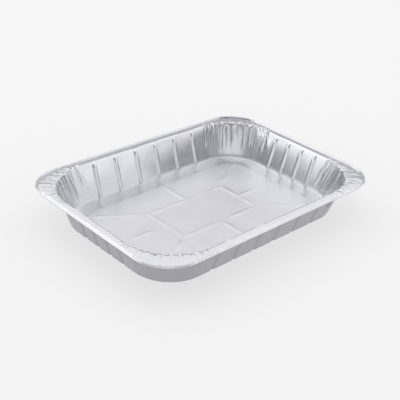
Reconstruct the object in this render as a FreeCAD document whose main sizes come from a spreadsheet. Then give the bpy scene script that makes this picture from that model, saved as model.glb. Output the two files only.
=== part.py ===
import FreeCAD, Part
import math
import os
import Sketcher
from FreeCAD import Vector

# Aluminium foil tray, pressed from one sheet: a ribbed floor, sloping walls with upright ribs,
# gathered corners, a flat flange and a rolled rim. Millimetres; +Z is up, +X runs along the
# tray, and the origin is under the middle of the floor.

DRIVING_SIZES = {
    # whole tray
    "length": 320,
    "width": 230,
    "height": 41,
    "foil": 0.1,
    # rim and flange
    "rim_radius": 42,
    "bead": 2.6,
    "bead_strip": 1.2,
    "curl_sides": 9,
    "flange": 11.2,
    "flange_drop": 0.8,
    # well and walls
    "well_radius": 57,
    "wall_run": 13.4,
    "foot_bevel": 1.4,
    # upright ribs in the walls
    "rib_width": 7,
    "rib_depth": 1.8,
    "rib_flank": 45,
    "rib_top_gap": 3.5,
    "long_rib_count": 6,
    "long_rib_pitch": 29.2,
    "short_rib_count": 4,
    "short_rib_pitch": 20.3,
    # gathers in the corners
    "gather_count": 14,
    "gather_width": 4.2,
    "gather_depth": 1.2,
    "gather_reach": 30,
    "crimp_height": 0.6,
    "crimp_reach": 6.5,
    # pressed pattern in the floor
    "ring_width": 17.5,
    "field_rise": 1,
    "floor_rib_width": 6.5,
    "floor_rib_rise": 1,
    "floor_rib_end_gap": 0.6,
    "floor_flank": 45,
    "panel_length": 108,
    "panel_width": 58,
}

# lengths that several features share, written in terms of the driving sizes
FLANGE_LOW = "(sizes.height - sizes.flange_drop - sizes.foil)"
WALL_SLOPE = f"atan(sizes.wall_run / {FLANGE_LOW})"
FLOOR_LENGTH = "(sizes.length - 2 * sizes.flange - 2 * sizes.wall_run)"
FLOOR_WIDTH = "(sizes.width - 2 * sizes.flange - 2 * sizes.wall_run)"
FLOOR_RADIUS = "(sizes.well_radius - sizes.wall_run)"
STRIP = "(sizes.bead + sizes.bead_strip)"
CORNER_X = "(sizes.length / 2 - sizes.flange - sizes.well_radius)"
CORNER_Y = "(sizes.width / 2 - sizes.flange - sizes.well_radius)"
FACET_TURN = "(90 / (sizes.gather_count + 1))"
FIELD_LENGTH = f"({FLOOR_LENGTH} - 2 * sizes.ring_width)"
FIELD_WIDTH = f"({FLOOR_WIDTH} - 2 * sizes.ring_width)"
FIELD_RADIUS = f"({FLOOR_RADIUS} - sizes.ring_width)"

# how far a cutter starts outside the skin that it cuts
RUN_IN = 1.5
# how far a gather's cutter runs past the flange, which is added after it
RUN_OUT = 8
# how much longer than its fold a cutter is that runs out to nothing
FADE_OUT = 1.2
# how far the outlines of a quarter run past the tray's middle lines before it is trimmed there
PAST_MIDDLE = 20
# how far the inner form stands past the outer one at the flange, which parts them cleanly
CLEARANCE = 2
# sides of the curl from the flange up to its top
SIDES_TO_TOP = 2
# faces whose middles are nearer than this to a middle plane of the tray lie on it
ON_PLANE = 1e-4

doc = FreeCAD.newDocument("foil_tray")


def fill_sheet():
    sheet = doc.addObject("Spreadsheet::Sheet", "sizes")
    for row, (name, value) in enumerate(DRIVING_SIZES.items(), 1):
        sheet.set(f"A{row}", name)
        sheet.set(f"B{row}", str(value))
        sheet.setAlias(f"B{row}", name)
    doc.recompute()
    return sheet


sheet = fill_sheet()


def value(expression):
    """The number that an expression in the driving sizes comes to."""
    found = sheet.evalExpression(expression)
    return float(getattr(found, "Value", found))


def skin_step(skin, angle):
    """How far a slope's foot moves when the slope and the flat under it both move by one skin."""
    return f"{skin} * (1 / cos({angle}) - tan({angle}))"


def origin_plane(body, role):
    return next(item for item in body.Origin.OriginFeatures if item.Role == role)


def new_sketch(body, name, role, offset="vector(0; 0; 0)"):
    sketch = body.newObject("Sketcher::SketchObject", name)
    sketch.AttachmentSupport = [(origin_plane(body, role), "")]
    sketch.MapMode = "FlatFace"
    sketch.setExpression("AttachmentOffset", f"placement({offset}; rotation(0; 0; 0))")
    return sketch


def bind(sketch, constraint, expression):
    sketch.setExpression(f"Constraints[{sketch.addConstraint(constraint)}]", expression)


def add_chain(sketch, points):
    """Straight lines from point to point, joined end to end."""
    first = sketch.GeometryCount
    for start, end in zip(points, points[1:]):
        sketch.addGeometry(Part.LineSegment(start, end))
    for item in range(first, first + len(points) - 2):
        sketch.addConstraint(Sketcher.Constraint("Coincident", item, 2, item + 1, 1))


def add_outline(sketch, corners):
    """A closed outline of straight lines; each corner is placed by two expressions."""
    points = [Vector(value(x), value(y), 0) for x, y in corners]
    add_chain(sketch, points + points[:1])
    sketch.addConstraint(Sketcher.Constraint("Coincident", len(points) - 1, 2, 0, 1))
    for line, (point, (x, y)) in enumerate(zip(points, corners)):
        bind(sketch, Sketcher.Constraint("DistanceX", -1, 1, line, 1, point.x), x)
        bind(sketch, Sketcher.Constraint("DistanceY", -1, 1, line, 1, point.y), y)


def quarter_outline(sketch, reach_x, reach_y, radius):
    """One quarter of a rectangle with a round corner, from a little past both middle lines."""
    x, y, r = value(reach_x), value(reach_y), value(radius)
    near = Vector(-PAST_MIDDLE, -PAST_MIDDLE, 0)
    centre = Vector(x - r, y - r, 0)
    upper_left, lower_right = Vector(near.x, y, 0), Vector(x, near.y, 0)
    add_chain(sketch, [Vector(centre.x, y, 0), upper_left, near, lower_right, Vector(x, centre.y, 0)])
    top, left, bottom, right = range(4)
    circle = Part.Circle(centre, Vector(0, 0, 1), r)
    corner = sketch.addGeometry(Part.ArcOfCircle(circle, 0, math.pi / 2))
    bind(sketch, Sketcher.Constraint("Radius", corner, r), radius)
    sketch.addConstraint(Sketcher.Constraint("Coincident", right, 2, corner, 1))
    sketch.addConstraint(Sketcher.Constraint("Coincident", corner, 2, top, 1))
    sketch.addConstraint(Sketcher.Constraint("Horizontal", corner, 1, corner, 3))
    sketch.addConstraint(Sketcher.Constraint("Vertical", corner, 2, corner, 3))
    for line in (top, bottom):
        sketch.addConstraint(Sketcher.Constraint("Horizontal", line))
    for line in (left, right):
        sketch.addConstraint(Sketcher.Constraint("Vertical", line))
    sketch.addConstraint(Sketcher.Constraint("DistanceX", left, 2, -1, 1, PAST_MIDDLE))
    sketch.addConstraint(Sketcher.Constraint("DistanceY", left, 2, -1, 1, PAST_MIDDLE))
    bind(sketch, Sketcher.Constraint("DistanceX", -1, 1, right, 2, x), reach_x)
    bind(sketch, Sketcher.Constraint("DistanceY", -1, 1, top, 1, y), reach_y)


def wedge(body, name, foot, crest, rise, run, place):
    """A wedge-shaped cutter about its own origin, which narrows as it rises along its local Y.

    `foot` and `crest` are its half widths, `rise` is its span along Y, and `run` is its span
    along local Z at the foot and then at the crest. All are expressions, as is its placement.
    """
    cutter = body.newObject("PartDesign::SubtractiveWedge", name)
    cutter.setExpression("Xmin", f"-({foot})")
    cutter.setExpression("Xmax", foot)
    cutter.setExpression("X2min", f"-({crest})")
    cutter.setExpression("X2max", crest)
    cutter.setExpression("Ymin", rise[0])
    cutter.setExpression("Ymax", rise[1])
    cutter.setExpression("Zmin", run[0])
    cutter.setExpression("Zmax", run[1])
    cutter.setExpression("Z2min", run[2])
    cutter.setExpression("Z2max", run[3])
    cutter.setExpression("Placement", place)
    return cutter


def ridge(body, name, skin, width, rise, flank, start, end, place):
    """A pressed ridge with a flat crest, whose sides and far end lean in by `flank`."""
    lean = f"tan({flank})"
    step = skin_step(skin, flank)
    half_foot = f"({width} / 2 + {step})"
    return wedge(
        body, name,
        f"{half_foot} + {RUN_IN} * {lean}",
        f"{half_foot} - {rise} * {lean}",
        (f"-{RUN_IN}", rise),
        (start, f"{end} + {step} + {RUN_IN} * {lean}", start, f"{end} + {step} - {rise} * {lean}"),
        place,
    )


def fold(body, name, skin, width, depth, start, end, place):
    """A sharp V-shaped fold."""
    opening = f"atan({width} / 2 / {depth})"
    half_foot = f"({width} / 2 + {skin_step(skin, opening)})"
    return wedge(
        body, name,
        f"{half_foot} + {RUN_IN} * tan({opening})",
        "0",
        (f"-{RUN_IN}", f"{half_foot} / tan({opening})"),
        (start, end, start, end),
        place,
    )


def plane_off(body, name, radius, level, slope, half_width, heading="0"):
    """Cuts away what lies outside a sloping plane that stands off from the corner's centre."""
    x = f"{CORNER_X} + ({radius}) * cos({heading})"
    y = f"{CORNER_Y} + ({radius}) * sin({heading})"
    place = f"placement(vector({x}; {y}; {level}); rotation(90 + {heading}; 0; {slope}))"
    tall = "2 * sizes.height"
    return wedge(body, name, half_width, half_width, ("-sizes.well_radius", "0"),
                 (f"-{tall}", tall, f"-{tall}", tall), place)


def around_corner(body, name, original, first, count):
    """Repeats a cutter round the corner, evenly from `first` degrees to as far from the end."""
    centre = new_sketch(body, f"{name}_centre", "XY_Plane", f"vector({CORNER_X}; {CORNER_Y}; 0)")
    around = body.newObject("PartDesign::PolarPattern", name)
    around.Originals = [original]
    around.Axis = (centre, ["N_Axis"])
    around.setExpression("Angle", f"90 - 2 * {first}")
    around.setExpression("Occurrences", count)
    body.Tip = around


def add_tub(body, skin):
    """The well as a solid block, planed to its sloping walls, faceted corner and bevelled foot."""
    block = body.newObject("PartDesign::AdditiveBox", f"{body.Name}_block")
    block.setExpression("Length", f"sizes.length / 2 - sizes.flange + {PAST_MIDDLE}")
    block.setExpression("Width", f"sizes.width / 2 - sizes.flange + {PAST_MIDDLE}")
    block.setExpression("Height", FLANGE_LOW)
    block.setExpression("Placement",
                        f"placement(vector(-{PAST_MIDDLE}; -{PAST_MIDDLE}; {skin}); rotation(0; 0; 0))")
    bevel = f"(45 deg + {WALL_SLOPE} / 2)"
    planes = {
        "wall": (f"{FLOOR_RADIUS} - {skin_step(skin, WALL_SLOPE)}", WALL_SLOPE),
        "foot": (f"{FLOOR_RADIUS} - sizes.foot_bevel - {skin_step(skin, bevel)}", bevel),
    }
    for part, (radius, slope) in planes.items():
        name = f"{body.Name}_{part}"
        plane_off(body, f"{name}_end", radius, skin, slope, "sizes.width")
        plane_off(body, f"{name}_side", radius, skin, slope, "sizes.length", "90")
        facet = plane_off(body, f"{name}_facet", radius, skin, slope,
                          f"2 * sizes.well_radius * tan({FACET_TURN} / 2)", FACET_TURN)
        around_corner(body, f"{name}_facets", facet, FACET_TURN, "sizes.gather_count")


def add_wall_ribs(body, skin):
    """Upright ribs that stand in from the walls, from the foot to just under the flange."""
    step = skin_step(skin, WALL_SLOPE)
    top = f"({FLANGE_LOW} - sizes.rib_top_gap) / cos({WALL_SLOPE})"
    for side in ("long", "short"):
        count, pitch = f"sizes.{side}_rib_count", f"sizes.{side}_rib_pitch"
        first = f"{pitch} * mod({count} + 1; 2) / 2"
        if side == "long":
            place = f"vector({first}; {FLOOR_WIDTH} / 2 - {step}; {skin}); rotation(180; 0; {WALL_SLOPE})"
        else:
            place = f"vector({FLOOR_LENGTH} / 2 - {step}; {first}; {skin}); rotation(90; 0; {WALL_SLOPE})"
        rib = ridge(body, f"{body.Name}_{side}_rib", skin, "sizes.rib_width", "sizes.rib_depth",
                    "sizes.rib_flank", f"-2 * {RUN_IN}", top, f"placement({place})")
        row = body.newObject("PartDesign::LinearPattern", f"{body.Name}_{side}_ribs")
        row.Originals = [rib]
        row.Direction = (origin_plane(body, "X_Axis" if side == "long" else "Y_Axis"), [""])
        row.setExpression("Length", f"{pitch} * (ceil({count} / 2) - 1)")
        row.setExpression("Occurrences", f"ceil({count} / 2)")
        body.Tip = row


def add_corner_folds(body, name, skin, depth, start, end, radius, roll):
    """One fold on each facet of the corner, at a radius from its centre and at the flange."""
    x = f"{CORNER_X} + ({radius}) * cos({FACET_TURN})"
    y = f"{CORNER_Y} + ({radius}) * sin({FACET_TURN})"
    place = f"placement(vector({x}; {y}; {FLANGE_LOW} + {skin}); rotation(90 + {FACET_TURN}; 0; {roll}))"
    first = fold(body, f"{body.Name}_{name}", skin, "sizes.gather_width", depth, start, end, place)
    around_corner(body, f"{body.Name}_{name}s", first, FACET_TURN, "sizes.gather_count")


def add_gathers(body, skin):
    """Folds in the corner wall, deepest under the flange and running out down the wall."""
    fade = "atan(sizes.gather_depth / sizes.gather_reach)"
    radius = f"sizes.well_radius - {skin_step(skin, WALL_SLOPE)}"
    add_corner_folds(body, "gather", skin, "sizes.gather_depth", f"-{FADE_OUT} * sizes.gather_reach",
                     str(RUN_OUT), radius, f"{WALL_SLOPE} - {fade}")


def add_flange(body, skin, reach):
    """A slab whose underside is the flange's skin; `reach` is how far it stands past the foil."""
    outline = new_sketch(body, f"{body.Name}_flange_edge", "XY_Plane",
                         f"vector(0; 0; {FLANGE_LOW} + {skin})")
    quarter_outline(
        outline,
        f"sizes.length / 2 - {STRIP} + {reach}",
        f"sizes.width / 2 - {STRIP} + {reach}",
        f"sizes.rim_radius - {STRIP} + {reach}",
    )
    slab = body.newObject("PartDesign::Pad", f"{body.Name}_flange")
    slab.Profile = outline
    slab.setExpression("Length", f"2 * sizes.bead + {reach}")
    doc.recompute()


def add_crimps(body, skin):
    """Short radial creases in the flange that carry the gathers on outward."""
    length = "(sizes.crimp_reach + sizes.gather_depth)"
    fall = f"atan(sizes.crimp_height / {length})"
    add_corner_folds(body, "crimp", skin, "sizes.crimp_height", f"-{skin}", f"{FADE_OUT} * {length}",
                     "sizes.well_radius - sizes.gather_depth", f"90 deg + {fall}")


def add_floor_field(body, skin):
    """The raised field of the floor, inside a ring that the tray rests on."""
    step = skin_step(skin, "sizes.floor_flank")
    outline = new_sketch(body, f"{body.Name}_field_edge", "XY_Plane", f"vector(0; 0; {skin})")
    quarter_outline(
        outline,
        f"{FIELD_LENGTH} / 2 + {step}",
        f"{FIELD_WIDTH} / 2 + {step}",
        f"{FIELD_RADIUS} + {step}",
    )
    field = body.newObject("PartDesign::Pocket", f"{body.Name}_field")
    field.Profile = outline
    field.Reversed = True
    field.setExpression("Length", "sizes.field_rise")
    field.setExpression("TaperAngle", "-sizes.floor_flank")
    doc.recompute()


def floor_rib(body, name, skin, x, y, heading, length):
    """A rib that stands up from the floor's field, from (x, y) along a heading in degrees."""
    place = f"placement(vector({x}; {y}; sizes.field_rise + {skin}); rotation({heading} + 90; 0; 90))"
    ridge(body, f"{body.Name}_{name}", skin, "sizes.floor_rib_width", "sizes.floor_rib_rise",
          "sizes.floor_flank", "0", length, place)


def add_floor_ribs(body, skin):
    """Ribs round the middle panel, and from it out to the middle of each side and each corner."""
    panel_x = "sizes.panel_length / 2"
    panel_y = "sizes.panel_width / 2"
    past = "sizes.floor_rib_width / 2"
    short_of_edge = "sizes.field_rise * tan(sizes.floor_flank) + sizes.floor_rib_end_gap"
    corner_run = f"({CORNER_X} + {FIELD_RADIUS} * cos(45) - {panel_x})"
    corner_rise = f"({CORNER_Y} + {FIELD_RADIUS} * sin(45) - {panel_y})"
    diagonal = f"atan({corner_rise} / {corner_run}) / 1 deg"
    floor_rib(body, "panel_long", skin, "0", panel_y, "0", f"{panel_x} + {past}")
    floor_rib(body, "panel_short", skin, panel_x, "0", "90", f"{panel_y} + {past}")
    floor_rib(body, "mid_long", skin, panel_x, "0", "0", f"{FIELD_LENGTH} / 2 - {panel_x} - {short_of_edge}")
    floor_rib(body, "mid_short", skin, "0", panel_y, "90", f"{FIELD_WIDTH} / 2 - {panel_y} - {short_of_edge}")
    floor_rib(body, "diagonal", skin, panel_x, panel_y, diagonal,
              f"hypot({corner_run}; {corner_rise}) - {short_of_edge}")


def press_form(name, skin, reach):
    """One skin of the pressed sheet, as the solid that would fill the tray up to that skin."""
    body = doc.addObject("PartDesign::Body", name)
    for step in (add_tub, add_wall_ribs, add_gathers):
        step(body, skin)
        doc.recompute()
    add_flange(body, skin, reach)
    for step in (add_crimps, add_floor_field, add_floor_ribs):
        step(body, skin)
        doc.recompute()
    return body


def rim_section(sketch, centre_x):
    """Section of the flange's outer strip and of the curl that it ends in.

    The curl turns up from the flange, goes over the bead's top and on round under it, in equal
    straight sides whose corners lie on a circle.
    """
    curl = "(sizes.bead / 2)"
    centre_z = f"(sizes.height - {curl})"
    upper = "(sizes.height - sizes.flange_drop)"
    lower = f"({upper} - sizes.foil)"
    start = f"(180 deg - asin(1 - sizes.flange_drop / {curl}))"
    turn = f"(({start} - 90 deg) / {SIDES_TO_TOP})"
    lining = f"({curl} - sizes.foil / cos({turn} / 2))"
    sides = int(value("sizes.curl_sides"))
    corners = []
    for radius, order in ((curl, range(sides + 1)), (lining, range(sides, 0, -1))):
        for side in order:
            angle = f"({start} - {side} * {turn})"
            corners.append((f"{centre_x} + {radius} * cos({angle})",
                            f"{centre_z} + {radius} * sin({angle})"))
    mitre = f"sizes.foil * tan(({start} - {turn} / 2 - 90 deg) / 2)"
    inner_edge = f"{centre_x} + {curl} - {STRIP}"
    corners.append((f"{centre_x} + {curl} * cos({start}) + {mitre}", lower))
    corners.append((inner_edge, lower))
    corners.append((inner_edge, upper))
    add_outline(sketch, corners)


def rolled_rim():
    """A quarter of the rolled rim: an end run, the round corner and a side run."""
    body = doc.addObject("PartDesign::Body", "rolled_rim")
    side_x = "(sizes.length / 2 - sizes.rim_radius)"
    side_y = "(sizes.width / 2 - sizes.rim_radius)"
    end_section = new_sketch(body, "end_section", "XZ_Plane")
    rim_section(end_section, "sizes.length / 2 - sizes.bead / 2")
    end_run = body.newObject("PartDesign::Pad", "end_run")
    end_run.Profile = end_section
    end_run.Reversed = True
    end_run.setExpression("Length", side_y)
    corner_section = new_sketch(body, "corner_section", "XZ_Plane", f"vector({side_x}; 0; -{side_y})")
    rim_section(corner_section, "sizes.rim_radius - sizes.bead / 2")
    corner = body.newObject("PartDesign::Revolution", "rim_corner")
    corner.Profile = corner_section
    corner.ReferenceAxis = (corner_section, ["V_Axis"])
    corner.Angle = 90
    side_section = new_sketch(body, "side_section", "YZ_Plane")
    rim_section(side_section, "sizes.width / 2 - sizes.bead / 2")
    side_run = body.newObject("PartDesign::Pad", "side_run")
    side_run.Profile = side_section
    side_run.setExpression("Length", side_x)
    doc.recompute()
    return body


def quarter_tray():
    """The pressed sheet between its two skins, trimmed to one quarter, with its rolled rim."""
    space = doc.addObject("Part::Box", "quarter_space")
    space.setExpression("Length", "sizes.length / 2")
    space.setExpression("Width", "sizes.width / 2")
    space.setExpression("Height", "sizes.height")
    trimmed = doc.addObject("Part::Common", "outside_quarter")
    trimmed.Base = press_form("outside", "0", "0")
    trimmed.Tool = space
    pressed = doc.addObject("Part::Cut", "pressed_quarter")
    pressed.Base = trimmed
    pressed.Tool = press_form("inside", "sizes.foil", str(CLEARANCE))
    quarter = doc.addObject("Part::Fuse", "quarter")
    quarter.Base = pressed
    quarter.Tool = rolled_rim()
    doc.recompute()
    for stage in (pressed, quarter):
        if len(stage.Shape.Solids) != 1:
            raise RuntimeError(f"{stage.Name} isn't one solid")
    return quarter


def mirrored_skin(faces, normal):
    """The faces and their mirror images across a middle plane, without those that lie on it."""
    kept = [face for face in faces if abs(face.CenterOfMass.dot(normal)) > ON_PLANE]
    return kept + [face.mirror(Vector(), normal) for face in kept]


def whole_tray(quarter):
    """The tray as one solid, closed by the quarter's faces and their mirror images."""
    faces = quarter.Shape.Faces
    for normal in (Vector(1, 0, 0), Vector(0, 1, 0)):
        faces = mirrored_skin(faces, normal)
    shell = Part.Compound(faces)
    shell.sewShape()
    return Part.Solid(shell.Shells[0]).removeSplitter()


def stop_on_failures(part):
    """Stops before anything is written if a feature failed or the part isn't one sound solid."""
    for item in doc.Objects:
        if "Invalid" in item.State or "Error" in item.State:
            raise RuntimeError(f"{item.Name} failed: {item.getStatusString()}")
    if part.Shape.isNull() or not part.Shape.isValid():
        raise RuntimeError(f"{part.Label} has no valid shape")
    if len(part.Shape.Solids) != 1:
        raise RuntimeError(f"{part.Label} has {len(part.Shape.Solids)} solids")


quarter = quarter_tray()
tray = doc.addObject("Part::Feature", "foil_tray")
tray.Label = "foil_tray"
tray.Shape = whole_tray(quarter)
tray.Placement = FreeCAD.Placement()
doc.recompute()
stop_on_failures(tray)
box = tray.Shape.BoundBox
print(f"foil_tray: {box.XLength:.2f} x {box.YLength:.2f} x {box.ZLength:.2f} mm")
print(f"foil in it: {tray.Shape.Volume:.0f} mm3")
os.makedirs("parts", exist_ok=True)
tray.Shape.exportStep("parts/foil_tray.step")
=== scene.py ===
import math

import bpy
import bmesh
import numpy as np
from mathutils import Matrix, Vector, noise


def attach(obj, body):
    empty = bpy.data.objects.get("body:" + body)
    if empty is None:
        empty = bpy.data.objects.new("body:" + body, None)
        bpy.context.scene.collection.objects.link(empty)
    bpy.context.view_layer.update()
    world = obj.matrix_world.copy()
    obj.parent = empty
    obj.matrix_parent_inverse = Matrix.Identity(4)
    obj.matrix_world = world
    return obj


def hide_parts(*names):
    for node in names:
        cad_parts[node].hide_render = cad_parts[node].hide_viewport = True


# Aluminium foil tray: one thin sheet, pressed into a shallow well with ribbed walls and gathered
# corners, and rolled over along its edge. Shapes are worked out in millimetres about the point
# under the middle of the floor, with the long side along X.

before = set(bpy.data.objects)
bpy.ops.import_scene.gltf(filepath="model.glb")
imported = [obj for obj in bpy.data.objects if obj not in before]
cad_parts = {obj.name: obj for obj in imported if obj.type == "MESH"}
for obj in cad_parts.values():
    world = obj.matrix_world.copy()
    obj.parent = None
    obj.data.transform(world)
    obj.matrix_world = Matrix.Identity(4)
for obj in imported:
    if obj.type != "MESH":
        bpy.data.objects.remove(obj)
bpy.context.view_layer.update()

MM = 0.001

# sizes of the tray, in millimetres
FOIL = 0.1
HALF_LENGTH = 159.95
HALF_WIDTH = 114.95
TRAY_HEIGHT = 41
RIM_RADIUS = 42
BEAD = 2.56
BEAD_MIDDLE = 39.7
FLANGE_TOP = 40.35
FLANGE_EDGE = 39.7
GROOVE = 0.7
WELL_X = 148.8
WELL_Y = 103.8
WELL_RADIUS = 57
WELL_DEPTH = 40
WALL_RUN = 13.4
WALL_TOP = 40.2
RIB_DEPTH = 1.8
RIB_CREST = 1.8
RIB_FLANK = 1.7
RIB_TOP = 37.3
RIB_FADE = 2.6
LONG_RIBS = [29.2 * (count - 2.5) for count in range(6)]
SHORT_RIBS = [20.3 * (count - 1.5) for count in range(4)]
RING_WIDTH = 17.5
FIELD_RISE = 1
FLOOR_RIB_RISE = 0.5
FLOOR_RIB_CREST = 2
FLOOR_RIB_FLANK = 1.7
FLOOR_RIB_END_GAP = 3.8
PANEL_X = 54
PANEL_Y = 29

CORNER_X = WELL_X - WELL_RADIUS
CORNER_Y = WELL_Y - WELL_RADIUS
CORNER_ARC = WELL_RADIUS * math.pi / 2

# how finely the sheet is divided
CORNER_POINTS = 140
SIDE_SPACING = 2.4
CURL_POINTS = 9
GRID_X = 136
GRID_Y = 84


def eased(share):
    """A soft step from 0 to 1."""
    share = np.clip(share, 0, 1)
    return share * share * (3 - 2 * share)


def ridge(distance, crest, flank):
    """A pressed ridge seen end on: 1 on its crest, 0 past its flanks."""
    return 1 - eased((np.abs(distance) - crest / 2) / flank)


def ripple(points, size, seed):
    """Soft irregular waves between about -1 and 1, `size` millimetres from one to the next."""
    return np.array([noise.noise(Vector(point) / size + Vector((seed, 0, 0))) for point in points])


# The well's outline, once round. Each of its points has a place, the direction out of the tray,
# the distance along its side and the distance round its corner.


def side_stations(half, ribs):
    """Places along a straight side: close together on the ribs and wider apart between them."""
    half_rib = [0.6, 1.1, 1.6, 2.1, 2.6, 3.4]
    near_end = np.array([0, 0.7, 1.4, 2.1, 2.9, 3.8, 4.9, 6.3])
    on_rib = np.array([-place for place in half_rib[::-1]] + [0] + half_rib)
    stations = []
    edges = [-half + near_end[-1]] + list(ribs) + [half - near_end[-1]]
    for left, right in zip(edges, edges[1:]):
        start = left + half_rib[-1] if left in ribs else left
        end = right - half_rib[-1] if right in ribs else right
        count = max(2, round((end - start) / SIDE_SPACING))
        between = np.linspace(start, end, count + 1)
        stations.extend(between[1:-1] if left in ribs else between[:-1])
        if right in ribs:
            stations.extend(right + on_rib)
    return np.concatenate([-half + near_end[:-1], stations, half - near_end[::-1]])


def well_outline():
    """The outline's points, a side and then a corner at a time; `sides` is empty in a corner."""
    places, outs, sides, corners = [], [], [], []
    long_side = side_stations(CORNER_X, LONG_RIBS)
    short_side = side_stations(CORNER_Y, SHORT_RIBS)
    for quarter in range(4):
        turn = quarter * math.pi / 2
        along = (-math.sin(turn), math.cos(turn))
        out = (math.cos(turn), math.sin(turn))
        at_end = quarter % 2 == 0
        reach = WELL_X if at_end else WELL_Y
        half = CORNER_Y if at_end else CORNER_X
        for station in (short_side if at_end else long_side):
            places.append((out[0] * reach + along[0] * station, out[1] * reach + along[1] * station))
            outs.append(out)
            sides.append(station)
            nearer = quarter if station > 0 else quarter - 1
            corners.append((nearer % 4, math.copysign(half - abs(station) + CORNER_ARC / 2, -station)))
        centre = (CORNER_X * (1, -1, -1, 1)[quarter], CORNER_Y * (1, 1, -1, -1)[quarter])
        for step in range(CORNER_POINTS):
            share = (step + 1) / (CORNER_POINTS + 1)
            angle = turn + share * math.pi / 2
            out = (math.cos(angle), math.sin(angle))
            places.append((centre[0] + WELL_RADIUS * out[0], centre[1] + WELL_RADIUS * out[1]))
            outs.append(out)
            sides.append(np.nan)
            corners.append((quarter, (share - 0.5) * CORNER_ARC))
    return np.array(places), np.array(outs), np.array(sides), np.array(corners)


PLACES, OUTS, SIDES, CORNERS = well_outline()
AROUND = len(PLACES)
IN_CORNER = np.isnan(SIDES)


def rim_points(inset):
    """Where each line out from the well meets the rim's outline, set in by `inset`."""
    half = np.array([HALF_LENGTH - inset, HALF_WIDTH - inset])
    radius = RIM_RADIUS - inset
    centre = half - radius
    furthest = 60.0
    halvings = 40
    low = np.zeros(AROUND)
    high = np.full(AROUND, furthest)
    for _ in range(halvings):
        middle = (low + high) / 2
        past = np.abs(PLACES + OUTS * middle[:, None]) - centre
        outside = np.hypot(*np.maximum(past, 0).T) + np.minimum(past.max(axis=1), 0) > radius
        high = np.where(outside, middle, high)
        low = np.where(outside, low, middle)
    points = PLACES + OUTS * low[:, None]
    past = np.maximum(np.abs(points) - centre, 0)
    normals = past * np.sign(points)
    return points, normals / np.hypot(*normals.T)[:, None]


# The sheet's section, from the edge of the floor's raised field out to the curl's hidden end.
# Up to the flange each row is a distance out from the well's outline and a height. The flange's
# rows are shares of its width, and the curl's are angles round the bead.

HALF_FOIL = FOIL / 2
FOOT = -WALL_RUN
FIELD_EDGE = FOOT - RING_WIDTH
FIELD_ROWS = [(FIELD_EDGE - 2.2, HALF_FOIL + FIELD_RISE), (FIELD_EDGE - 1.6, HALF_FOIL + 0.84),
              (FIELD_EDGE - 0.6, HALF_FOIL + 0.16), (FIELD_EDGE, HALF_FOIL)]
FLOOR_ROWS = [(FOOT - 9, HALF_FOIL), (FOOT - 1, HALF_FOIL)]
FOOT_ROWS = [(FOOT - 0.55, 0.11), (FOOT - 0.2, 0.27), (FOOT + 0.1, 0.56), (FOOT + 0.3, 0.95)]
WALL_HEIGHTS = [5, 10.5, 16, 21.5, 26.5, 31, 34.6, 37, 39]
WALL_ROWS = [(FOOT + height * WALL_RUN / WALL_TOP, height) for height in WALL_HEIGHTS]
BEND_ROWS = [(-0.1, 39.95), (0.22, FLANGE_TOP - HALF_FOIL)]
SECTION = FIELD_ROWS + FLOOR_ROWS + FOOT_ROWS + WALL_ROWS + BEND_ROWS
FLANGE_START = 0.5
FLANGE_SHARES = [0.07, 0.15, 0.24, 0.35, 0.5, 0.7]
CREASE_LIMIT = 40.9
CURL = BEAD / 2 - HALF_FOIL
CURL_START = math.radians(200)
CURL_END = math.radians(-120)

# The two kinds of fold in a corner, in millimetres: how far from one to the next, how deep and how
# wide it is, how far down the wall it runs, and how far it lifts the flange or, below 0, sinks it.
GATHERS = {"apart": (3.4, 7.5), "depth": (0.8, 1.6), "width": (1.2, 2.3), "down": (28, 46),
           "lift": (-1.3, 0.5)}
WRINKLES = {"apart": (1.8, 3.0), "depth": (0.3, 0.6), "width": (0.8, 1.2), "down": (26, 38),
            "lift": (-0.9, 0.35)}
FOLDS_BEFORE_CORNER = 4
FOLDS_END_SHORT = 5
FAR_FOLDS = 0.12
CORNER_SEEDS = (11, 23, 35, 47)


def corner_folds(seed):
    """The folds of one corner: where each is, how deep, how wide, how far down and out it runs."""
    pick = np.random.default_rng(seed)
    half_arc = CORNER_ARC / 2
    folds = []
    for kind in (GATHERS, WRINKLES):
        station = -half_arc - FOLDS_BEFORE_CORNER
        while station < half_arc - FOLDS_END_SHORT:
            station += pick.uniform(*kind["apart"])
            # folds are shallower in the middle of the corner than at its ends
            ends = 0.75 + 0.25 * min(1, abs(station) / half_arc) ** 1.5
            far = pick.random() < FAR_FOLDS
            folds.append({
                "at": station,
                "depth": pick.uniform(*kind["depth"]) * ends * pick.choice([1, 1, 1, -0.6]),
                "width": pick.uniform(*kind["width"]),
                "down": pick.uniform(*kind["down"]),
                "from": pick.choice([0, 0, 0, 1]) * pick.uniform(3, 12),
                "slant": 0.28 * station / half_arc + pick.uniform(-0.13, 0.13),
                "out": pick.uniform(12, 20) if far else pick.uniform(2.5, 9),
                "lean": pick.uniform(-0.45, 0.45),
                "bow": pick.uniform(-0.05, 0.05),
                "lift": pick.uniform(*kind["lift"]) * (0.5 if far else 1),
            })
    return folds


CORNER_FOLDS = [corner_folds(seed) for seed in CORNER_SEEDS]


def fold_depth(height):
    """How far the folds push each point of a row in, at a height on the wall."""
    fade_in = 3
    depth = np.zeros(AROUND)
    for corner, folds in enumerate(CORNER_FOLDS):
        here = CORNERS[:, 0] == corner
        for fold in folds:
            below = FLANGE_TOP - height
            start = 1 + (below - fold["from"]) / fade_in
            strength = float(np.clip(min(start, 1.5 * (1 - below / fold["down"])), 0, 1))
            off = np.abs(CORNERS[here, 1] - fold["at"] - fold["slant"] * below)
            depth[here] += fold["depth"] * strength * np.clip(1 - off / fold["width"], 0, 1)
    return depth


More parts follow.
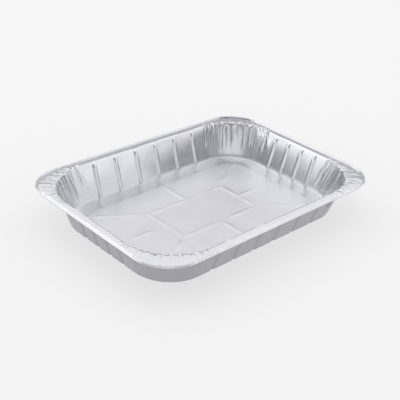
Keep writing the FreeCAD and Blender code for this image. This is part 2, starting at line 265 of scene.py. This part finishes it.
def crease_lift(distance):
    """How far the creases raise or lower each point of the flange, at a distance out on it."""
    narrowing = 0.9
    lift = np.zeros(AROUND)
    for corner, folds in enumerate(CORNER_FOLDS):
        here = CORNERS[:, 0] == corner
        for fold in folds:
            strength = eased(1 - distance[here] / fold["out"])
            aside = fold["lean"] * distance[here] + fold["bow"] * distance[here] ** 2
            off = np.abs(CORNERS[here, 1] - fold["at"] - aside)
            lift[here] += fold["lift"] * strength * np.clip(1 - off / (fold["width"] * narrowing), 0, 1)
    return lift


def rib_depth(height):
    """How far the upright ribs push each point of a row in."""
    depth = np.zeros(AROUND)
    on_long = (~IN_CORNER) & (np.abs(OUTS[:, 1]) > 0.5)
    on_short = (~IN_CORNER) & (np.abs(OUTS[:, 0]) > 0.5)
    for here, ribs in ((on_long, LONG_RIBS), (on_short, SHORT_RIBS)):
        for rib in ribs:
            depth[here] += ridge(SIDES[here] - rib, RIB_CREST, RIB_FLANK)
    return depth * RIB_DEPTH * float(eased((RIB_TOP - height) / RIB_FADE))


# Waves in the sheet, in millimetres: how high, and how far from one to the next. Apart from its
# waves, the flange sits lower by its sag and is arched by its crown.
WALL_BULGE, WALL_BULGE_SIZE = 0.35, 26
WALL_DENT, WALL_DENT_SIZE = 0.14, 4.5
FLANGE_WAVE, FLANGE_WAVE_SIZE = 0.12, 18
FLANGE_SAG = 0.1
FLANGE_CROWN = 0.12
CRUMPLE, CRUMPLE_SIZE = 0.3, 5
RIM_SWAY, RIM_SWAY_SIZE = 0.16, 45
CRIMP, CRIMP_SIZE = 0.3, 2.4


def well_rows():
    """The rows from the field's edge over the floor's ring and up the wall to the flange."""
    dented = np.where(IN_CORNER, 1, 0.2)
    rows = []
    for out, height in SECTION:
        push = np.full(AROUND, out, dtype=float)
        lift = np.zeros(AROUND)
        flat = np.column_stack([PLACES, np.full(AROUND, height)])
        if (out, height) in WALL_ROWS + FOOT_ROWS + BEND_ROWS:
            share = height / WELL_DEPTH
            push -= rib_depth(height)
            push -= fold_depth(height)
            bulge = math.sin(math.pi * share)
            push += WALL_BULGE * bulge * ripple(flat, WALL_BULGE_SIZE, seed=3.1)
            push += WALL_DENT * share * dented * ripple(flat, WALL_DENT_SIZE, seed=8.4)
        elif out > FOOT - 2:
            # the floor's last row follows the feet of the ribs
            push -= rib_depth(height)
        if (out, height) in BEND_ROWS:
            lift = crease_lift(np.zeros(AROUND))
            lift = lift + FLANGE_WAVE * ripple(flat, FLANGE_WAVE_SIZE, seed=5.2) - FLANGE_SAG
        points = PLACES + OUTS * push[:, None]
        rows.append(np.column_stack([points, np.maximum(height + lift, HALF_FOIL)]))
    return rows


def flange_rows(edge, crumpled, sway):
    """The rows across the flange, which ends in a narrow groove beside the bead."""
    inner = PLACES + OUTS * FLANGE_START
    width = np.hypot(*(edge - inner).T)
    rows = []
    for share in [np.full(AROUND, share) for share in FLANGE_SHARES] + [1 - GROOVE / width]:
        points = inner + (edge - inner) * share[:, None]
        flat = np.column_stack([points, np.zeros(AROUND)])
        height = FLANGE_TOP - HALF_FOIL + (FLANGE_EDGE - FLANGE_TOP) * share
        lift = crease_lift(width * share) + CRUMPLE * crumpled * ripple(flat, CRUMPLE_SIZE, seed=9.9)
        lift += FLANGE_WAVE * ripple(flat, FLANGE_WAVE_SIZE, seed=5.2) - FLANGE_SAG + sway * share * share
        lift += FLANGE_CROWN * np.sin(math.pi * share)
        rows.append(np.column_stack([points, np.minimum(height + lift, CREASE_LIMIT)]))
    return rows


def curl_rows(middle, normal, crumpled, sway, crimp):
    """The rows round the rolled bead, up over its top and on down under it."""
    # the bead is drawn in a little, so that no crimp stands past the solid's box
    slack = 0.1
    set_in = 0.06
    rows = []
    for step in range(CURL_POINTS):
        angle = CURL_START + (CURL_END - CURL_START) * step / (CURL_POINTS - 1)
        # the crimps show on top of the bead and fade towards its underside
        radius = CURL + crimp * max(0.0, math.sin(angle) + 0.3) * 0.7 - slack * crumpled
        points = middle + normal * (radius * math.cos(angle) - set_in)[:, None]
        height = BEAD_MIDDLE + radius * math.sin(angle) + sway
        rows.append(np.column_stack([points, np.minimum(height, TRAY_HEIGHT - HALF_FOIL)]))
    return rows


def sheet_rows():
    """Every row of the sheet as points, from the field's edge to the end of the curl."""
    middle, normal = rim_points(BEAD / 2)
    flat = np.column_stack([middle, np.zeros(AROUND)])
    crumpled = np.where(IN_CORNER, 1, 0.25)
    sway = -RIM_SWAY - RIM_SWAY * ripple(flat, RIM_SWAY_SIZE, seed=7.7)
    crimp = CRIMP * crumpled * ripple(flat, CRIMP_SIZE, seed=2.2)
    edge = middle + normal * (CURL * math.cos(CURL_START))
    return (well_rows() + flange_rows(edge, crumpled, sway)
            + curl_rows(middle, normal, crumpled, sway, crimp))


# The floor's raised field: a grid whose edge is fitted to a rectangle with round corners.

FIELD_OUT = SECTION[0][0] - 1.5
FIELD_X = WELL_X + FIELD_OUT
FIELD_Y = WELL_Y + FIELD_OUT
FIELD_RADIUS = WELL_RADIUS + FIELD_OUT


def fit_to_field(x, y):
    """Moves grid points so that the grid's edge follows the field's round corners."""
    level = np.maximum(np.abs(x) / FIELD_X, np.abs(y) / FIELD_Y)
    level = np.maximum(level, 1e-9)
    edge = np.column_stack([np.abs(x) / level, np.abs(y) / level])
    tangent_x, tangent_y = FIELD_X - FIELD_RADIUS, FIELD_Y - FIELD_RADIUS
    from_side = edge[:, 1] - tangent_y
    from_top = edge[:, 0] - tangent_x
    on_side = edge[:, 0] > FIELD_X - 1e-6
    share = np.where(on_side, from_side, 2 * FIELD_RADIUS - from_top) / (2 * FIELD_RADIUS)
    angle = share * math.pi / 2
    round_x = tangent_x + FIELD_RADIUS * np.cos(angle)
    round_y = tangent_y + FIELD_RADIUS * np.sin(angle)
    turned = (from_side > 0) & (from_top > 0)
    # the pull is full at the grid's edge and soon fades further in
    pull = np.where(turned, level ** 6, 0)
    new_x = np.abs(x) + (round_x - edge[:, 0]) * pull
    new_y = np.abs(y) + (round_y - edge[:, 1]) * pull
    return new_x * np.sign(x), new_y * np.sign(y)


def off_line(x, y, start, end):
    """Distance from points to a straight line between two ends."""
    start, end = np.array(start, dtype=float), np.array(end, dtype=float)
    line = end - start
    share = np.clip(((x - start[0]) * line[0] + (y - start[1]) * line[1]) / line.dot(line), 0, 1)
    return np.hypot(x - start[0] - share * line[0], y - start[1] - share * line[1])


def floor_rib_height(x, y):
    """The floor's ribs: round the middle panel, and out from it to each side and corner."""
    x, y = np.abs(x), np.abs(y)
    gap = FLOOR_RIB_END_GAP
    diagonal = (FIELD_RADIUS - gap) * 0.707
    corner = (CORNER_X + diagonal, CORNER_Y + diagonal)
    lines = [((0, PANEL_Y), (PANEL_X, PANEL_Y)), ((PANEL_X, 0), (PANEL_X, PANEL_Y)),
             ((PANEL_X, 0), (FIELD_X - gap, 0)), ((0, PANEL_Y), (0, FIELD_Y - gap)),
             ((PANEL_X, PANEL_Y), corner)]
    nearest = np.min([off_line(x, y, start, end) for start, end in lines], axis=0)
    return FLOOR_RIB_RISE * ridge(nearest, FLOOR_RIB_CREST, FLOOR_RIB_FLANK)


PARTS_ROUND = 12


def outline_share(x, y, half_x, half_y, radius):
    """How far round a rectangle with round corners a point is, in twelfths of the way round.

    Each quarter has three parts: half a side, a corner and half a side.
    """
    turn = np.arctan2(y, x) % (2 * math.pi)
    quarter = (turn // (math.pi / 2)).astype(int)
    ax, ay = np.abs(x), np.abs(y)
    straight_x, straight_y = half_x - radius, half_y - radius
    bend = np.arctan2(ay - straight_y, ax - straight_x)
    share = np.where(ay < straight_y, ay / straight_y,
                     np.where(ax < straight_x, 2 + (straight_x - ax) / straight_x,
                              1 + bend / (math.pi / 2)))
    share = np.where(quarter % 2 == 1, 3 - share, share)
    return (quarter * 3 + share) % PARTS_ROUND


def deselect():
    """Leaves nothing selected, so that an operator acts on the new piece alone."""
    bpy.ops.object.select_all(action="DESELECT")


def set_points(piece, points):
    """Puts a piece's vertices at points given in metres."""
    piece.data.vertices.foreach_set("co", np.asarray(points, dtype=float).ravel())
    piece.data.update()


def get_points(piece):
    """A piece's vertices as rows of x, y and z."""
    points = np.empty(len(piece.data.vertices) * 3)
    piece.data.vertices.foreach_get("co", points)
    return points.reshape(-1, 3)


def make_skirt():
    """Ring, walls, flange and curl: a loop of edges extruded once for each row of the section."""
    rows = sheet_rows()
    deselect()
    bpy.ops.mesh.primitive_circle_add(vertices=AROUND, radius=1)
    skirt = bpy.context.object
    bpy.ops.object.mode_set(mode="EDIT")
    bpy.ops.mesh.select_all(action="SELECT")
    for _ in rows[1:]:
        bpy.ops.mesh.extrude_region_move(TRANSFORM_OT_translate={"value": (0, 0, 1)})
    bpy.ops.object.mode_set(mode="OBJECT")
    points = get_points(skirt)
    row = np.rint(points[:, 2]).astype(int)
    # the circle's first vertex is on +Y, and they go round towards -X
    turn = np.arctan2(-points[:, 0], points[:, 1]) / (2 * math.pi)
    step = np.rint(turn * AROUND).astype(int) % AROUND
    placed = np.array(rows)[row, step]
    set_points(skirt, placed * MM)
    inner = np.zeros(AROUND, dtype=int)
    first = row == 0
    inner[step[first]] = np.nonzero(first)[0]
    return skirt, inner


def make_field():
    """The floor's field: a grid fitted to its outline and embossed with its ribs."""
    deselect()
    bpy.ops.mesh.primitive_grid_add(x_subdivisions=GRID_X, y_subdivisions=GRID_Y, size=2)
    field = bpy.context.object
    points = get_points(field)
    from_middle = np.max(np.abs(points[:, :2]), axis=1)
    edge = from_middle > 1 - 1e-5
    x, y = fit_to_field(points[:, 0] * FIELD_X, points[:, 1] * FIELD_Y)
    flat = np.column_stack([x, y, np.zeros(len(x))])
    # the ribs are pressed deeper in some places than in others
    press = np.clip(0.7 + 1.6 * ripple(flat, 22, seed=4.4), 0.05, 1.3)
    height = HALF_FOIL + FIELD_RISE + press * floor_rib_height(x, y)
    # the field is a little wavy, but flat at its edge, where it is sewn on
    flat_border, wave, wave_size = 0.1, 0.1, 30
    inward = eased((1 - from_middle) / flat_border)
    height += inward * wave * ripple(flat, wave_size, seed=1.3)
    set_points(field, np.column_stack([x, y, height]) * MM)
    return field, np.nonzero(edge)[0]


def sew(sheet, inner, edge):
    """Fills the gap between the field's edge and the first row round it."""
    points = get_points(sheet) / MM
    loops = []
    for numbers, out in ((inner, SECTION[0][0]), (edge, FIELD_OUT)):
        x, y = points[numbers, 0], points[numbers, 1]
        share = outline_share(x, y, WELL_X + out, WELL_Y + out, WELL_RADIUS + out)
        order = np.argsort(share)
        loops.append((numbers[order], share[order]))
    (outer, outer_share), (field, field_share) = loops
    mesh = bmesh.new()
    mesh.from_mesh(sheet.data)
    mesh.verts.ensure_lookup_table()
    i = j = 0
    while i < len(outer) or j < len(field):
        a, b = mesh.verts[outer[i % len(outer)]], mesh.verts[field[j % len(field)]]
        next_outer = outer_share[i + 1] if i + 1 < len(outer) else outer_share[0] + PARTS_ROUND
        next_field = field_share[j + 1] if j + 1 < len(field) else field_share[0] + PARTS_ROUND
        if j >= len(field) or (i < len(outer) and next_outer <= next_field):
            i += 1
            mesh.faces.new((a, mesh.verts[outer[i % len(outer)]], b))
        else:
            j += 1
            mesh.faces.new((a, mesh.verts[field[j % len(field)]], b))
    mesh.to_mesh(sheet.data)
    mesh.free()


def press_sheet():
    """The whole tray: skirt and field joined, sewn together and given the foil's thickness."""
    skirt, inner = make_skirt()
    field, edge = make_field()
    deselect()
    field.select_set(True)
    skirt.select_set(True)
    bpy.context.view_layer.objects.active = skirt
    # joined, the field's vertices come after the skirt's
    skirt_vertices = len(skirt.data.vertices)
    bpy.ops.object.join()
    sew(skirt, inner, edge + skirt_vertices)
    bpy.ops.object.mode_set(mode="EDIT")
    bpy.ops.mesh.select_all(action="SELECT")
    bpy.ops.mesh.normals_make_consistent(inside=False)
    bpy.ops.object.mode_set(mode="OBJECT")
    # a hair thinner than the foil, so that the rim stays inside the solid's box
    spare = 0.01
    thickness = skirt.modifiers.new("foil thickness", "SOLIDIFY")
    thickness.thickness = (FOIL - spare) * MM
    thickness.offset = 0
    bpy.ops.object.modifier_apply(modifier=thickness.name)
    # bends of more degrees than this stay sharp to the eye
    sharp_bend = 50
    bpy.ops.object.shade_smooth_by_angle(angle=math.radians(sharp_bend))
    skirt.name = "pressed_foil"
    return skirt


def linear(colour):
    """A material's colour from its sRGB hex value."""
    parts = [int(colour[start:start + 2], 16) / 255 for start in (1, 3, 5)]
    curved = [part / 12.92 if part <= 0.04045 else ((part + 0.055) / 1.055) ** 2.4 for part in parts]
    return curved + [1]


def add_node(tree, kind, settings=(), inputs=(), links=()):
    """Adds a node; links are its input's name and the socket that feeds it."""
    node = tree.nodes.new(kind)
    for name, setting in dict(settings).items():
        setattr(node, name, setting)
    for name, number in dict(inputs).items():
        node.inputs[name].default_value = number
    for name, source in dict(links).items():
        tree.links.new(source, node.inputs[name])
    return node


def per_metre(size):
    """A pattern's scale, from the size in millimetres of what it draws."""
    return 1 / (size * MM)


def rolled_aluminium():
    """Household aluminium foil, bright side up: bare metal with fine rolling lines."""
    material = bpy.data.materials.new("rolled aluminium foil")
    material.use_nodes = True
    tree = material.node_tree
    shader = next(node for node in tree.nodes if node.type == "BSDF_PRINCIPLED")
    shader.inputs["Metallic"].default_value = 1
    place = add_node(tree, "ShaderNodeTexCoord")
    # the metal is a little greyer in patches, some 30 mm across
    patches = add_node(tree, "ShaderNodeTexNoise", inputs={"Scale": per_metre(30.303), "Detail": 4},
                       links={"Vector": place.outputs["Object"]})
    tone = add_node(tree, "ShaderNodeMixRGB",
                    inputs={"Color1": linear("#F3F3F7"), "Color2": linear("#E7E7EB")},
                    links={"Fac": patches.outputs["Fac"]})
    # the foil's dull side is outside and underneath, on the faces that point down; their darker colour is
    # partly that dull side and partly painted shade, standing in for the shadowed table that the outer
    # walls reflect
    facing = add_node(tree, "ShaderNodeSeparateXYZ", links={"Vector": place.outputs["Normal"]})
    dull_side_and_painted_shade_mask = add_node(tree, "ShaderNodeMapRange",
                     inputs={"From Min": 0.1, "From Max": -0.15, "To Min": 0, "To Max": 1},
                     links={"Value": facing.outputs["Z"]})
    # painted shade: faces that point down get this darker grey, partly for the dull side and partly for
    # the shade they reflect
    metal_colour_with_painted_shade = add_node(tree, "ShaderNodeMixRGB", inputs={"Color2": linear("#B4B4BA")},
                    links={"Fac": dull_side_and_painted_shade_mask.outputs["Result"], "Color1": tone.outputs["Color"]})
    tree.links.new(metal_colour_with_painted_shade.outputs["Color"], shader.inputs["Base Color"])
    # rolling lines drawn out along X; real ones are too fine to show, so these are 1.5 mm apart
    line_length, line_pitch, line_height = 40, 1.53846, 3.33333
    line_scale = (per_metre(line_length), per_metre(line_pitch), per_metre(line_height))
    along = add_node(tree, "ShaderNodeMapping", inputs={"Scale": line_scale},
                     links={"Vector": place.outputs["Object"]})
    lines = add_node(tree, "ShaderNodeTexNoise", inputs={"Scale": 1, "Detail": 3},
                     links={"Vector": along.outputs["Vector"]})
    # shallow dents from handling, 6 mm and more across
    dents = add_node(tree, "ShaderNodeTexNoise", inputs={"Scale": per_metre(6.25), "Detail": 2},
                     links={"Vector": place.outputs["Object"]})
    low = add_node(tree, "ShaderNodeBump", inputs={"Strength": 0.05, "Distance": 1 * MM},
                   links={"Height": dents.outputs["Fac"]})
    fine = add_node(tree, "ShaderNodeBump", inputs={"Strength": 0.06, "Distance": 0.4 * MM},
                    links={"Height": lines.outputs["Fac"], "Normal": low.outputs["Normal"]})
    # the floor looks duller than the walls and the flange, which fades out by 4 mm up the wall
    parts = add_node(tree, "ShaderNodeSeparateXYZ", links={"Vector": place.outputs["Object"]})
    dull = add_node(tree, "ShaderNodeMapRange",
                    inputs={"From Min": 0.5 * MM, "From Max": 4 * MM, "To Min": 0.19, "To Max": 0},
                    links={"Value": parts.outputs["Z"]})
    streaks = add_node(tree, "ShaderNodeMapRange", inputs={"To Min": 0.17, "To Max": 0.27},
                       links={"Value": lines.outputs["Fac"]})
    gloss = add_node(tree, "ShaderNodeMath", {"operation": "ADD"})
    tree.links.new(dull.outputs["Result"], gloss.inputs[0])
    tree.links.new(streaks.outputs["Result"], gloss.inputs[1])
    tree.links.new(fine.outputs["Normal"], shader.inputs["Normal"])
    tree.links.new(gloss.outputs["Value"], shader.inputs["Roughness"])
    return material


def plain_floor():
    """A matt white table just under the tray, which keeps the tray's soft shadow."""
    table_size = 8
    below_tray = 0.2 * MM
    plain_white = 0.65
    deselect()
    bpy.ops.mesh.primitive_plane_add(size=table_size, location=(0, 0, -below_tray))
    floor = bpy.context.object
    floor.name = "studio_floor"
    material = bpy.data.materials.new("matt white table")
    material.use_nodes = True
    tree = material.node_tree
    shader = next(node for node in tree.nodes if node.type == "BSDF_PRINCIPLED")
    output = next(node for node in tree.nodes if node.type == "OUTPUT_MATERIAL")
    shader.inputs["Base Color"].default_value = linear("#FFFFFF")
    shader.inputs["Roughness"].default_value = 0.9
    shader.inputs["Specular IOR Level"].default_value = 0
    # the table shows partly as plain white, to the eye and in the metal, so the shadow stays light
    path = add_node(tree, "ShaderNodeLightPath")
    white = add_node(tree, "ShaderNodeEmission", inputs={"Color": (1, 1, 1, 1), "Strength": 1})
    seen = path.outputs["Is Camera Ray"]
    for ray in ("Is Glossy Ray", "Is Transmission Ray"):
        either = add_node(tree, "ShaderNodeMath", {"operation": "MAXIMUM"})
        tree.links.new(seen, either.inputs[0])
        tree.links.new(path.outputs[ray], either.inputs[1])
        seen = either.outputs["Value"]
    share = add_node(tree, "ShaderNodeMath", {"operation": "MULTIPLY"})
    share.inputs[1].default_value = plain_white
    tree.links.new(seen, share.inputs[0])
    mix = add_node(tree, "ShaderNodeMixShader", links={"Fac": share.outputs["Value"]})
    tree.links.new(shader.outputs["BSDF"], mix.inputs[1])
    tree.links.new(white.outputs["Emission"], mix.inputs[2])
    tree.links.new(mix.outputs["Shader"], output.inputs["Surface"])
    floor.data.materials.append(material)


def soft_light(name, heading, elevation, width, height, brightness):
    """A softbox aimed at the tray, by its heading and height in degrees; 1 is as bright as white."""
    away = 3.0
    turn, rise = math.radians(heading), math.radians(elevation)
    place = Vector((math.cos(turn) * math.cos(rise), math.sin(turn) * math.cos(rise), math.sin(rise)))
    lamp = bpy.data.lights.new(name, "AREA")
    lamp.shape = "RECTANGLE"
    lamp.size = width
    lamp.size_y = height
    lamp.energy = brightness * math.pi * width * height
    holder = bpy.data.objects.new(name, lamp)
    holder.location = place * away
    holder.rotation_euler = (-place).to_track_quat("-Z", "Y").to_euler()
    bpy.context.collection.objects.link(holder)


def studio():
    """A grey room with softboxes all round, which the foil mirrors."""
    world = bpy.data.worlds.new("studio")
    bpy.context.scene.world = world
    world.use_nodes = True
    background = next(node for node in world.node_tree.nodes if node.type == "BACKGROUND")
    background.inputs["Color"].default_value = linear("#88888C")
    background.inputs["Strength"].default_value = 1
    # the camera looks along a heading of 45 degrees, so the first two of these stand behind the tray
    soft_light("high back softbox", 45, 45, 4.2, 2.2, 0.67)
    soft_light("low back softbox", 45, 13, 4.6, 0.8, 0.2)
    soft_light("high right softbox", -28, 44, 3.0, 2.2, 0.52)
    soft_light("high left softbox", 118, 44, 3.0, 2.2, 0.82)
    soft_light("low right softbox", -45, 13, 3.6, 1.5, 0.76)
    soft_light("low left softbox", 135, 13, 3.6, 1.5, 0.95)
    soft_light("front softbox", 225, 8, 3.2, 1.0, 0.6)
    soft_light("top softbox", 200, 86, 2.4, 2.4, 0.85)


def photo_camera():
    """The camera, at the place that a fit of the photograph's rim, foot and floor gave."""
    azimuth, elevation, roll = (math.radians(angle) for angle in (-44.77, 29.06, 3.98))
    target = Vector((13.95, 20.51, 0)) * MM
    distance = 0.9185
    back = Vector((math.sin(azimuth) * math.cos(elevation),
                   -math.cos(azimuth) * math.cos(elevation), math.sin(elevation)))
    right = Vector((math.cos(azimuth), math.sin(azimuth), 0))
    up = back.cross(right)
    x = right * math.cos(roll) + up * math.sin(roll)
    y = up * math.cos(roll) - right * math.sin(roll)
    turned = Matrix((x, y, back)).transposed().to_4x4()
    camera = bpy.data.objects.new("camera", bpy.data.cameras.new("camera"))
    camera.data.lens = 73.14
    camera.data.sensor_width = 36
    camera.matrix_world = Matrix.Translation(target + back * distance) @ turned
    bpy.context.collection.objects.link(camera)
    bpy.context.scene.camera = camera


tray = press_sheet()
tray.data.materials.clear()
tray.data.materials.append(rolled_aluminium())
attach(tray, "root")
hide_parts("foil_tray")

plain_floor()
studio()
photo_camera()

bpy.context.scene.view_settings.view_transform = "Standard"
